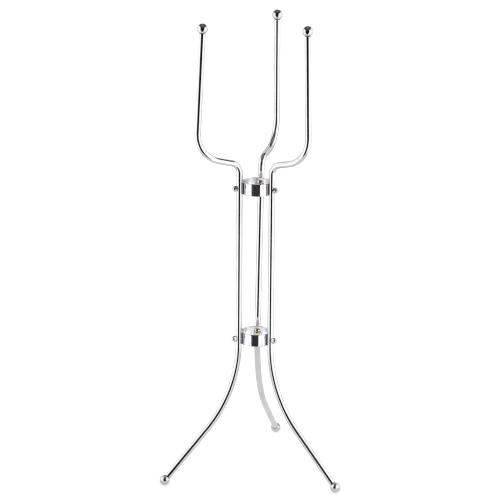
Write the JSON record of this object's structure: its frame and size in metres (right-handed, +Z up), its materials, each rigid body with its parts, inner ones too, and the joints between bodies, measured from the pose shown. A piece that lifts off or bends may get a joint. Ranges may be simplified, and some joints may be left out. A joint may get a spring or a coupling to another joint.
{
  "type": "wine bucket stand",
  "caption": "Tall chromed rod floor stand: splayed legs, uprights clamped on tube rings, and ball-ended arms that hold a wine bucket.",
  "frame": {"origin": "on the stand's upright axis at floor level, under the centre of both rings", "axes": "+Z up along the uprights, the back rod towards +Y, the left rod towards -X and -Y, the right rod towards +X and -Y"},
  "size_m": [0.2813, 0.2739, 0.721],
  "materials": {
    "rod_chrome": "polished chrome plate on steel bar",
    "ring_chrome": "polished chrome plate on steel tube",
    "ball_chrome": "polished chrome plate",
    "fastener_nickel": "bright nickel plate, slightly warm"
  },
  "bodies": {
    "root": {"cap_nut_lower_back": "fastener_nickel", "cap_nut_lower_left": "fastener_nickel", "cap_nut_lower_right": "fastener_nickel", "cap_nut_upper_back": "fastener_nickel", "cap_nut_upper_left": "fastener_nickel", "cap_nut_upper_right": "fastener_nickel", "finial_ball_back": "ball_chrome", "finial_ball_left": "ball_chrome", "finial_ball_right": "ball_chrome", "foot_ball_back": "ball_chrome", "foot_ball_left": "ball_chrome", "foot_ball_right": "ball_chrome", "ring_lower": "ring_chrome", "ring_upper": "ring_chrome", "rod_back": "rod_chrome", "rod_left": "rod_chrome", "rod_right": "rod_chrome", "screw_lower_back": "fastener_nickel", "screw_lower_left": "fastener_nickel", "screw_lower_right": "fastener_nickel", "screw_upper_back": "fastener_nickel", "screw_upper_left": "fastener_nickel", "screw_upper_right": "fastener_nickel"}
  },
  "joints": []
}
